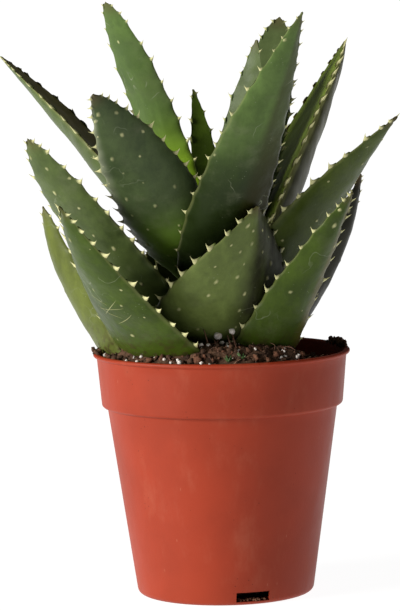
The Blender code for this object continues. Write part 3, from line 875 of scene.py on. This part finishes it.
class ALOE_OT_soil(bpy.types.Operator):
    """Bed of peat: a lumpy closed body with crumbs, perlite grains, root fibres and two shoots on it"""

    bl_idname = "aloe.soil"
    bl_label = "Soil"

    def execute(self, context):
        settings = context.scene.aloe_soil
        random = np.random.default_rng(11)
        peat = peat_material(settings)
        bed = Patchwork("tone")
        bed.add(*soil_body(), tone=0.40)
        crumbs = Patchwork("tone")
        places = strewn(random, settings.crumbs)
        sizes = 0.0005 + 0.0014 * random.uniform(0, 1, len(places)) ** 2.4
        add_lumps(crumbs, random, places + (0, 0, 0.0002), sizes, 0.5, 0.32)
        add_lumps(crumbs, random, rim_places(random), random.uniform(0.0007, 0.0019, 46), 0.45, 0.38, tone=0.62)
        add_lumps(crumbs, random, inner_rim_places(random), random.uniform(0.0004, 0.0011, 26), 0.5, 0.3)
        add_lumps(crumbs, random, slot_places(random), random.uniform(0.0005, 0.0011, 22), 0.5, 0.3, tone=0.9)
        places, sizes = lying(SCRAPS)
        add_lumps(crumbs, random, places, sizes, 0.25, 0.45, tone=0.85)
        grains = Patchwork("tone")
        places = strewn(random, settings.grains, 0.35)
        sizes = 0.0004 + 0.0009 * random.uniform(0, 1, len(places)) ** 2.0
        add_lumps(grains, random, places + (0, 0, 0.0005), sizes, 0.6, 0.16)
        places, sizes = lying(GRAINS)
        add_lumps(grains, random, places, sizes, 0.85, 0.12)
        perched = np.array(PERCHED_GRAINS)
        add_lumps(grains, random, perched[:, :3], perched[:, 3], 0.85, 0.10)
        fibres = Patchwork("tone")
        for place in strewn(random, settings.fibres, 0.3):
            path = loose_fibre(random, place)
            if path is None:
                continue
            thick = random.uniform(0.00012, 0.00034)
            taper = 1.1 - np.abs(np.linspace(-0.5, 0.5, len(path)))
            fibres.add(*tube(path, thick * taper, 6), tone=random.uniform())
        for start, end, bow in STANDING_FIBRES:
            path = bowed(start, end, bow)
            fibres.add(*tube(path, np.linspace(0.00050, 0.00022, len(path)), 7), tone=random.uniform(0.0, 0.5))
        shoots = Patchwork()
        for x, y in SHOOTS:
            foot = (x, y, float(soil_height(np.array(x), np.array(y))))
            for blade in range(SHOOT_BLADES):
                turn = TAU * blade / SHOOT_BLADES + random.uniform(-0.3, 0.3)
                reach = random.uniform(0.0008, 0.0024)
                rise = random.uniform(0.0012, 0.0034)
                end = np.array(foot) + (reach * math.cos(turn), reach * math.sin(turn), rise)
                path = bowed(foot, end, 0.0003, 7)
                shoots.add(*tube(path, 0.00045 * np.sin(np.linspace(0.6, 3.0, len(path))), 6))
        pieces = [
            (bed.build("soil_bed", peat), "peat"),
            (crumbs.build("soil_crumbs", peat), "peat"),
            (grains.build("perlite_grains", perlite_material(settings)), "peat"),
            (fibres.build("root_fibres", fibre_material()), "peat"),
            (shoots.build("small_shoots", shoot_material()), "leaf_fresh_green"),
        ]
        for piece, slot in pieces:
            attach(piece, "root")
        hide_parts("soil")
        return {"FINISHED"}


# ---- the stem -----------------------------------------------------------------------------------
def stem_radius(height):
    """The stem's radius, which shrinks evenly from the root crown to the top."""
    along = np.clip((height - CROWN_HEIGHT) / (STEM_TOP - CROWN_HEIGHT), 0.0, 1.0)
    return CROWN_RADIUS + (STEM_TOP_RADIUS - CROWN_RADIUS) * along


class ALOE_OT_stem(bpy.types.Operator):
    """Stem: a tapering turned body, ringed by the scars of old leaves"""

    bl_idname = "aloe.stem"
    bl_label = "Stem"

    def execute(self, context):
        angles = np.linspace(0, TAU, 64, endpoint=False)[None]
        heights = np.linspace(STEM_FOOT + 0.002, STEM_TOP - 0.001, 150)[:, None]
        below = np.clip((CROWN_HEIGHT - heights) / (CROWN_HEIGHT - STEM_FOOT), 0, 1)
        radius = stem_radius(heights) * (1 - 0.85 * below**1.5)
        ringed = 0.00035 * np.sin((heights / 0.0032 + 0.9 * np.sin(angles + heights * 90)) * TAU)
        cap = np.sqrt(np.clip((STEM_TOP - heights) / 0.004, 0, 1))
        radius = (radius + ringed) * cap
        rows = np.stack(
            [
                STEM_OFFSET + radius * np.cos(angles),
                radius * np.sin(angles),
                np.broadcast_to(heights, radius.shape),
            ],
            axis=-1,
        )
        count = rows.shape[0] * rows.shape[1]
        points = np.concatenate([rows.reshape(-1, 3), [(STEM_OFFSET, 0, STEM_FOOT), (STEM_OFFSET, 0, STEM_TOP)]])
        ring = np.arange(64)
        faces = [
            grid_faces(rows.shape[0], 64, True),
            fan_faces(ring, count, flip=True),
            fan_faces(ring + count - 64, count + 1),
        ]
        recipe = Recipe("stem_skin")
        fibrous = recipe.noise(240.0, 5.0, 0.6, stretch=(1.0, 1.0, 0.25))
        colour = recipe.blend(recipe.span(fibrous, 0.35, 0.7), (0.16, 0.17, 0.06), (0.10, 0.07, 0.035))
        skin = recipe.finish(colour, recipe.span(fibrous, 0.3, 0.7, 0.6, 0.8), recipe.bump(fibrous, 0.4, 0.0005))
        work = Patchwork()
        work.add(points, faces)
        stem = work.build("stem_body", skin)
        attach(stem, "root")
        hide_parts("stem")
        return {"FINISHED"}


# ---- the leaves ---------------------------------------------------------------------------------
class LeafShape:
    """A leaf's midline, its frame of across and upper directions, and its width and depth.

    The midline starts on the stem and is followed in short steps, while its slope goes evenly from
    lean to lean + curl and its heading from turn to turn + sweep.
    """

    def __init__(self, leaf, look):
        self.leaf = leaf
        self.look = look
        fine = np.linspace(0.0, 1.0, MIDLINE_STEPS + 1)
        slope = np.radians(leaf.lean + leaf.curl * fine)
        heading = np.radians(leaf.turn + leaf.sweep * fine)
        level = np.cos(slope)
        ahead = np.stack([level * np.cos(heading), level * np.sin(heading), np.sin(slope)], axis=-1)
        steps = (ahead[1:] + ahead[:-1]) / 2 * leaf.length / MIDLINE_STEPS
        path = np.concatenate([np.zeros((1, 3)), np.cumsum(steps, axis=0)])
        out = stem_radius(leaf.seat) + LEAF_TO_STEM
        path += (STEM_OFFSET + out * math.cos(heading[0]), out * math.sin(heading[0]), leaf.seat)
        self.fine, self.path, self.ahead, self.heading = fine, path, ahead, heading

    def frame_at(self, along):
        """Midline points and the ahead, across and upper directions at shares of the length.

        Before the base the midline runs straight back into the stem."""
        leaf = self.leaf
        pick = [np.interp(along, self.fine, self.path[:, k]) for k in range(3)]
        centre = np.stack(pick, axis=-1)
        ahead = unit(np.stack([np.interp(along, self.fine, self.ahead[:, k]) for k in range(3)], axis=-1))
        centre = centre + np.minimum(along, 0.0)[..., None] * leaf.length * ahead
        heading = np.interp(along, self.fine, self.heading)
        level_across = np.stack([-np.sin(heading), np.cos(heading), 0 * heading], axis=-1)
        level_upper = unit(np.cross(ahead, level_across))
        roll = np.radians(leaf.roll + leaf.twist * along)[..., None]
        across = np.cos(roll) * level_across + np.sin(roll) * level_upper
        upper = np.cos(roll) * level_upper - np.sin(roll) * level_across
        return centre, ahead, across, upper

    def half_width(self, along):
        held = np.clip(along, 0.0, 1.0)
        to_full = np.clip(held / FULL_WIDTH_AT, 0, 1)
        swell = BASE_WIDTH_SHARE + (1 - BASE_WIDTH_SHARE) * np.sin(to_full * math.pi / 2)
        narrowing = np.maximum(1 - held**self.leaf.taper, 0.0) ** self.look.blunt
        return np.maximum(self.leaf.width * narrowing * swell, TIP_WIDTH) / 2

    def depth(self, along):
        held = np.clip(along, 0.0, 1.0)
        fill = BASE_DEPTH_SHARE + (1 - BASE_DEPTH_SHARE) * smooth(held / FULL_DEPTH_AT)
        thinning = (1 - held**THINNING) ** TIP_BLUNTNESS
        return np.maximum(self.leaf.plump * self.leaf.width * fill * thinning, TIP_DEPTH)

    def section(self, along, angle):
        """Offsets (across, upper) of the skin at an angle round the section: 0 and pi are the margins."""
        side = np.cos(angle)
        rise = np.abs(np.sin(angle))
        depth = self.depth(along)
        channel = CHANNEL_SHARE * self.leaf.width * np.sin(math.pi * np.clip(along, 0.0, 1.0) ** CHANNEL_SKEW)
        below = -depth * rise**KEEL * (1 - CROWNING * np.abs(side) * rise)
        above = UPPER_BULGE * depth * rise - channel * rise**2
        return side * self.half_width(along), np.where(np.sin(angle) < 0, below, above)

    def skin(self, along, angle, lift=0.0):
        """Points on the skin and the outward normals there, for arrays of share and angle."""
        centre, ahead, across, upper = self.frame_at(along)
        width, height = self.section(along, angle)
        wide, high = self.section(along, angle + SMALL_ANGLE)
        tangent = (wide - width)[..., None] * across + (high - height)[..., None] * upper
        normal = unit(np.cross(tangent, ahead))
        points = centre + width[..., None] * across + height[..., None] * upper
        swelling = ripple(points, 7, 10, 0.016) * 0.00016 + ripple(points, 8, 10, 0.006) * 0.00005
        return points + normal * (swelling[..., None] + lift), normal


def tooth_places(leaf, look, random):
    """Shares of the length where one margin carries teeth: uneven, and closer towards the tip."""
    places = []
    place = TOOTHLESS_BASE + random.uniform(0.0, 1.0) * look.gap / leaf.length
    while place < 0.992:
        places.append(place)
        crowding = 1.0 - 0.62 * float(smooth((place - 0.80) / 0.17))
        place += look.gap / leaf.length * crowding * random.uniform(0.78, 1.22)
    return places


def add_tooth(work, shape, along, side, length, random):
    """A tooth: a flat, broad-based cone on the margin whose concave flanks run out to a hooked point."""
    share = np.array([along])
    angle = np.array([0.0 if side > 0 else math.pi])
    root = shape.skin(share, angle)[0][0]
    _, ahead, across, upper = (vectors[0] for vectors in shape.frame_at(share))
    outward = across * side
    climb = np.linspace(0.0, 1.0, TOOTH_ROWS)
    hook = random.uniform(0.35, 0.85)
    tilt = random.uniform(-0.05, 0.40)
    middle = (
        root
        + outward * (length * (climb - 0.14))[:, None]
        + ahead * (hook * length * climb**2)[:, None]
        + upper * (tilt * length * climb**1.5)[:, None]
    )
    wide = length * (0.56 * (1 - climb) ** 2.0 + 0.13 * (1 - climb)) + TOOTH_POINT
    thick = np.minimum(length * 0.24, 0.0010) * (1 - climb) ** 0.9 + TOOTH_POINT
    angles = np.linspace(0, TAU, TOOTH_SIDES, endpoint=False)
    ring = (
        np.cos(angles)[None, :, None] * ahead * wide[:, None, None]
        + np.sin(angles)[None, :, None] * upper * thick[:, None, None]
    )
    rows = middle[:, None] + ring
    count = TOOTH_ROWS * TOOTH_SIDES
    tip = middle[-1] + (outward * 0.3 + ahead * 0.7) * length * 0.05
    points = np.concatenate([rows.reshape(-1, 3), [middle[0], tip]])
    paleness = smooth((climb - 0.08) / 0.42)
    cream = np.concatenate([np.repeat(paleness, TOOTH_SIDES), [0.0, 1.0]])
    faces = [
        grid_faces(TOOTH_ROWS, TOOTH_SIDES, True),
        fan_faces(np.arange(TOOTH_SIDES), count, flip=True),
        fan_faces(np.arange(TOOTH_SIDES) + count - TOOTH_SIDES, count + 1),
    ]
    if side < 0:
        faces = [block[:, ::-1] for block in faces]
    work.add(points, faces, cream=cream, along=along, across=side * 0.9, upper=0.0)


def add_spot(work, shape, along, angle, radius, paleness, random):
    """A raised spot: a low dome h (1 - r^2)^2 laid on the skin, palest in the middle."""
    rings = np.array([0.25, 0.5, 0.75, 1.0])
    sides = 12
    angles = np.linspace(0, TAU, sides, endpoint=False)
    half = float(shape.half_width(np.array([along]))[0])
    deep = float(shape.depth(np.array([along]))[0])
    girth = math.hypot(half * math.sin(angle), deep * math.cos(angle))
    uneven = 1 + random.uniform(-0.16, 0.16, sides)
    long = radius * random.uniform(1.0, 1.4) / shape.leaf.length
    share = along + rings[:, None] * long * (uneven * np.sin(angles))[None]
    around = angle + rings[:, None] * radius / girth * (uneven * np.cos(angles))[None]
    share = np.append(share.ravel(), along)
    around = np.append(around.ravel(), angle)
    reach = np.append(np.repeat(rings, sides), 0.0)
    lift = 0.20 * radius * (1 - reach**2) ** 2 + 0.00002
    points, _ = shape.skin(share, around, lift[:, None])
    faces = [grid_faces(len(rings), sides, True), fan_faces(np.arange(sides), len(rings) * sides, flip=True)]
    cream = paleness * (1 - smooth(reach)) ** 0.8
    work.add(points, faces, cream=cream, along=along, across=math.cos(angle), upper=0.0)


def add_scratch(work, shape, start, end, bend, width):
    """A healed scratch: a thin raised strip on the skin between two (share, angle) places, bowed."""
    steps = np.linspace(0.0, 1.0, 24)
    bow = bend * np.sin(math.pi * steps)
    share = start[0] + (end[0] - start[0]) * steps + bow
    angle = start[1] + (end[1] - start[1]) * steps
    lift = np.array([0.00001, 0.00010, 0.00001])
    path, normal = shape.skin(share, angle)
    ahead = unit(np.gradient(path, axis=0))
    sideways = np.cross(normal, ahead)
    narrow = width * np.sin(math.pi * (0.06 + 0.88 * steps))
    offsets = sideways[:, None] * np.array([-0.5, 0.0, 0.5])[None, :, None] * narrow[:, None, None]
    rows = path[:, None] + offsets + normal[:, None] * lift[None, :, None]
    cream = np.broadcast_to(np.array([0.10, 0.50, 0.10]), (len(steps), 3)).ravel()
    faces = [grid_faces(len(steps), 3, False)]
    along = np.repeat(share, 3)
    work.add(rows.reshape(-1, 3), faces, cream=cream, along=along, across=0.0, upper=0.0)


def add_leaf_skin(work, shape, teeth, stations, sides):
    """The leaf's skin: the section carried along the midline, swollen at the foot of each tooth."""
    leaf = shape.leaf
    back = -BASE_OVERLAP / leaf.length
    along = np.concatenate([[back], 1 - (1 - np.linspace(0.0, 1.0, stations)) ** 1.25])
    angle = np.linspace(0, TAU, sides, endpoint=False)
    angle = angle - 0.16 * np.sin(2 * angle)
    share, around = np.meshgrid(along, angle, indexing="ij")
    points, _ = shape.skin(share, around)
    centre, ahead, across, upper = shape.frame_at(share)
    margin = (np.clip(np.abs(np.cos(around)) - 0.72, 0, None) / 0.28) ** 1.5
    for place, side, length in teeth:
        near = np.exp(-(((share - place) * leaf.length / (length * 0.75)) ** 2))
        push = near * margin * (np.cos(around) * side > 0) * length * 0.26
        points += (push * side)[..., None] * across
    rows = len(along)
    count = rows * sides
    ends = [points[0].mean(axis=0), points[-1].mean(axis=0) + ahead[-1, 0] * 0.0005]
    faces = [
        grid_faces(rows, sides, True),
        fan_faces(np.arange(sides), count, flip=True),
        fan_faces(np.arange(sides) + count - sides, count + 1),
    ]
    is_upper = smooth((np.sin(around) + 0.05) / 0.1)
    work.add(
        np.concatenate([points.reshape(-1, 3), ends]),
        faces,
        cream=0.0,
        along=np.append(share.ravel(), [0.0, 1.0]),
        across=np.append(np.cos(around).ravel(), [0.0, 0.0]),
        upper=np.append(is_upper.ravel(), [0.0, 0.0]),
    )


def leaf_material(leaf, look, cream_colour):
    """Waxy skin: clouded greens, a fresher green at the base with painted light on two leaves and painted shade on
    one, a margin flush that is brown-pink on most leaves, painted shade on two and a painted sheen on one, a pale
    margin, brown at the tip, cream teeth.
    """
    skin = SKINS[look.skin]
    recipe = Recipe(leaf.name + "_skin")
    along = recipe.attribute("along")
    across = recipe.attribute("across")
    upper = recipe.attribute("upper")
    cream = recipe.attribute("cream")
    height = recipe.height()
    cloud = recipe.noise(55.0, 5.0, 0.62)
    mottle = recipe.noise(330.0, 4.0, 0.6)
    streak = recipe.noise(150.0, 4.0, 0.6, stretch=(1.0, 1.0, 0.28))
    colour = recipe.blend(recipe.span(cloud, 0.34, 0.68), skin.middle, skin.shade)
    colour = recipe.blend(recipe.span(streak, 0.42, 0.74, 0.0, 0.45), colour, scaled(skin.middle, 1.4))
    colour = recipe.blend(recipe.span(mottle, 0.45, 0.75, 0.0, 0.30), colour, scaled(skin.shade, 0.72))
    # the foot's colour over the first part of the length: a fresher green on most leaves, painted light on
    # leaf_top_left and leaf_upper_front_left, painted shade on leaf_top_front
    colour = recipe.blend(recipe.span(along, skin.reach + 0.30, skin.reach, 0.0, 0.9), colour, skin.base)
    topside = recipe.blend(recipe.span(cloud, 0.3, 0.7), skin.channel, scaled(skin.channel, 0.6))
    colour = recipe.blend(recipe.math("MULTIPLY", upper, 0.88), colour, topside)
    # the flush colour on the underside along one margin: brown-pink on most leaves, painted shade on
    # leaf_lower_front and leaf_top_front, a pale painted sheen on leaf_upper_front_left
    side = recipe.math("MULTIPLY", across, -1.0 if look.blush < 0 else 1.0)
    blush = recipe.math("MULTIPLY", recipe.span(side, skin.onset, skin.onset + 0.45), recipe.span(streak, 0.2, 0.75, 0.6, 1.0))
    under = recipe.math("SUBTRACT", 1.0, upper)
    blush = recipe.math("MULTIPLY", blush, under)
    colour = recipe.blend(recipe.math("MULTIPLY", blush, abs(look.blush)), colour, skin.flush)
    edge = recipe.math("ABSOLUTE", across)
    colour = recipe.blend(recipe.span(edge, 0.955, 0.995, 0.0, look.edge), colour, MARGIN)
    haze = recipe.math("MULTIPLY", recipe.span(recipe.noise(40.0, 6.0, 0.7), 0.50, 0.74), look.bloom)
    colour = recipe.blend(haze, colour, BLOOM)
    winding = recipe.noise(95.0, 2.0, 0.4)
    line = recipe.span(recipe.math("ABSOLUTE", recipe.math("SUBTRACT", winding, 0.5)), 0.012, 0.003)
    line = recipe.math("MULTIPLY", line, recipe.span(recipe.noise(48.0, 2.0), 0.56, 0.64))
    line = recipe.math("MULTIPLY", line, look.scuffs)
    colour = recipe.blend(line, colour, SCUFF)
    fleck = recipe.span(recipe.cells(520.0), 0.17, 0.06)
    fleck = recipe.math("MULTIPLY", fleck, recipe.span(recipe.noise(75.0, 3.0), 0.55, 0.66))
    colour = recipe.blend(recipe.math("MULTIPLY", fleck, 0.5), colour, SCUFF)
    brown = recipe.math("MULTIPLY", recipe.span(along, 0.93, 1.0), recipe.span(cloud, 0.3, 0.6, 0.5, 1.0))
    colour = recipe.blend(recipe.math("MULTIPLY", brown, 0.6), colour, TIP_BROWN)
    splash = recipe.math("MULTIPLY", recipe.span(height, 0.132, 0.112), recipe.span(mottle, 0.48, 0.60))
    colour = recipe.blend(recipe.math("MULTIPLY", splash, 0.7), colour, SPLASH)
    colour = recipe.blend(cream, colour, cream_colour)
    fine = recipe.bump(mottle, 0.22, 0.0005)
    uneven = recipe.bump(cloud, 0.16, 0.0020, over=fine)
    roughness = recipe.span(streak, 0.3, 0.75, 0.36, 0.54)
    return recipe.finish(colour, roughness, uneven, Specular_IOR_Level=0.14)


def spread_spots(look, random):
    """Places (share, angle) on the underside, each the farthest of a few tries from those before."""
    chosen = []
    for _ in range(look.spots):
        tries = np.stack([random.uniform(0.10, 0.93, 9), random.uniform(0.06, 0.94, 9)], axis=-1)
        if chosen:
            apart = tries[:, None] * (2.4, 1.0) - np.array(chosen)[None] * (2.4, 1.0)
            pick = np.linalg.norm(apart, axis=-1).min(axis=1).argmax()
        else:
            pick = 0
        chosen.append(tries[pick])
    return [(along, -math.pi * around) for along, around in chosen]


def make_leaf(leaf, look, settings, seed):
    random = np.random.default_rng(seed)
    shape = LeafShape(leaf, look)
    teeth = []
    for side in (-1, 1):
        for place in tooth_places(leaf, look, random):
            grown = 0.60 + 0.40 * smooth(place / 0.25) - 0.35 * smooth((place - 0.72) / 0.28)
            teeth.append((place, side, look.tooth * float(grown) * random.uniform(0.80, 1.12)))
    work = Patchwork("cream", "along", "across", "upper")
    add_leaf_skin(work, shape, teeth, settings.stations, settings.sides)
    for place, side, length in teeth:
        add_tooth(work, shape, place, side, length, random)
    for along, angle in spread_spots(look, random):
        radius = settings.spot_radius * random.uniform(0.5, 1.15)
        add_spot(work, shape, along, angle, radius, random.uniform(0.30, 0.80), random)
    for start, end, bend in SCRATCHES.get(leaf.name, ()):
        add_scratch(work, shape, start, end, bend, SCRATCH_WIDTH)
    return work.build(leaf.name + "_blade", leaf_material(leaf, look, tuple(settings.cream)))


def check_against_frame(made, node):
    """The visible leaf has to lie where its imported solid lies, teeth aside."""
    low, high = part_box(node)
    corners = np.array([vert.co for vert in made.data.vertices])
    off = max(np.abs(corners.min(axis=0) - low).max(), np.abs(corners.max(axis=0) - high).max())
    if off > PLACE_TOLERANCE:
        raise RuntimeError(f"{made.name} lies {off * 1000:.1f} mm off {node}")


class ALOE_OT_leaves(bpy.types.Operator):
    """Leaves: each a skin carried along a bending midline, with hooked teeth and raised spots"""

    bl_idname = "aloe.leaves"
    bl_label = "Leaves"

    def execute(self, context):
        settings = context.scene.aloe_leaf
        for number, leaf in enumerate(LEAVES):
            look = LOOKS.get(leaf.name, PLAIN_LOOK)
            made = make_leaf(leaf, look, settings, 100 + number)
            check_against_frame(made, leaf.name)
            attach(made, "root")
            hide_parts(leaf.name)
        return {"FINISHED"}


# ---- the stage ----------------------------------------------------------------------------------
def aim(made, place, towards, roll=0.0):
    """Places an object and turns its -Z towards a point, then rolls it about that line."""
    ahead = (Vector(towards) - Vector(place)).normalized()
    turn = ahead.to_track_quat("-Z", "Y").to_matrix().to_4x4()
    made.matrix_world = Matrix.Translation(place) @ turn @ Matrix.Rotation(roll, 4, "Z")


class ALOE_OT_stage(bpy.types.Operator):
    """Stage: a pale floor, a soft key light from the left, an even sky and the camera"""

    bl_idname = "aloe.stage"
    bl_label = "Stage"

    def execute(self, context):
        settings = context.scene.aloe_stage
        scene = context.scene
        camera_data = bpy.data.cameras.new("camera")
        camera_data.lens = settings.lens
        camera_data.sensor_width = 36.0
        camera_data.clip_end = 50.0
        camera = bpy.data.objects.new("camera", camera_data)
        scene.collection.objects.link(camera)
        stand = Vector((0.0, -1.6, 0.297))
        yaw, pitch, roll = -0.006, 0.101, -0.020
        ahead = Vector((math.sin(yaw) * math.cos(pitch), math.cos(yaw) * math.cos(pitch), -math.sin(pitch)))
        aim(camera, stand, stand + ahead, roll)
        scene.camera = camera

        reach = 30.0
        work = Patchwork()
        corners = [(-reach, -reach, 0), (reach, -reach, 0), (reach, reach, 0), (-reach, reach, 0)]
        work.add(corners, [np.array([[0, 1, 2, 3]])])
        recipe = Recipe("floor_paint")
        shade = recipe.blend(recipe.span(recipe.noise(3.0, 2.0), 0.3, 0.7), (0.15, 0.15, 0.15), (0.18, 0.18, 0.18))
        paint = recipe.finish(shade, 0.9, None, Specular_IOR_Level=0.1, Emission_Strength=0.96)
        recipe.shader.inputs["Emission Color"].default_value = (1.0, 1.0, 1.0, 1.0)
        work.build("floor", paint)

        key_data = bpy.data.lights.new("key", "SUN")
        key_data.energy = settings.key_strength
        key_data.angle = math.radians(28)
        key_data.color = (1.0, 0.985, 0.96)
        key = bpy.data.objects.new("key", key_data)
        scene.collection.objects.link(key)
        aim(key, (-1.55, -0.78, 0.62), (0.0, 0.0, 0.12))

        world = bpy.data.worlds.new("sky")
        world.use_nodes = True
        world.node_tree.nodes["Background"].inputs["Color"].default_value = (1.0, 1.0, 1.0, 1.0)
        world.node_tree.nodes["Background"].inputs["Strength"].default_value = settings.fill_strength
        scene.world = world
        scene.view_settings.view_transform = "Standard"
        return {"FINISHED"}


# ---- the panel ----------------------------------------------------------------------------------
GROUPS = (
    ("aloe_pot", AloePotSettings, "aloe.pot"),
    ("aloe_soil", AloeSoilSettings, "aloe.soil"),
    ("aloe_leaf", AloeLeafSettings, "aloe.leaves"),
    ("aloe_stage", AloeStageSettings, "aloe.stage"),
)


class ALOE_PT_panel(bpy.types.Panel):
    bl_idname = "ALOE_PT_panel"
    bl_label = "Potted Aloe"
    bl_space_type = "VIEW_3D"
    bl_region_type = "UI"
    bl_category = "Aloe"

    def draw(self, context):
        layout = self.layout
        for attribute, group, operator in GROUPS:
            settings = getattr(context.scene, attribute)
            box = layout.box()
            for name in group.__annotations__:
                box.prop(settings, name)
            box.operator(operator)
        layout.operator("aloe.stem")


OPERATORS = (ALOE_OT_pot, ALOE_OT_soil, ALOE_OT_stem, ALOE_OT_leaves, ALOE_OT_stage)


def register():
    for attribute, group, _ in GROUPS:
        bpy.utils.register_class(group)
        setattr(bpy.types.Scene, attribute, bpy.props.PointerProperty(type=group))
    for operator in OPERATORS:
        bpy.utils.register_class(operator)
    bpy.utils.register_class(ALOE_PT_panel)


def unregister():
    bpy.utils.unregister_class(ALOE_PT_panel)
    for operator in reversed(OPERATORS):
        bpy.utils.unregister_class(operator)
    for attribute, group, _ in reversed(GROUPS):
        delattr(bpy.types.Scene, attribute)
        bpy.utils.unregister_class(group)


def main():
    register()
    bpy.ops.aloe.stage()
    bpy.ops.aloe.pot()
    bpy.ops.aloe.soil()
    bpy.ops.aloe.stem()
    bpy.ops.aloe.leaves()


if __name__ == "__main__":
    main()
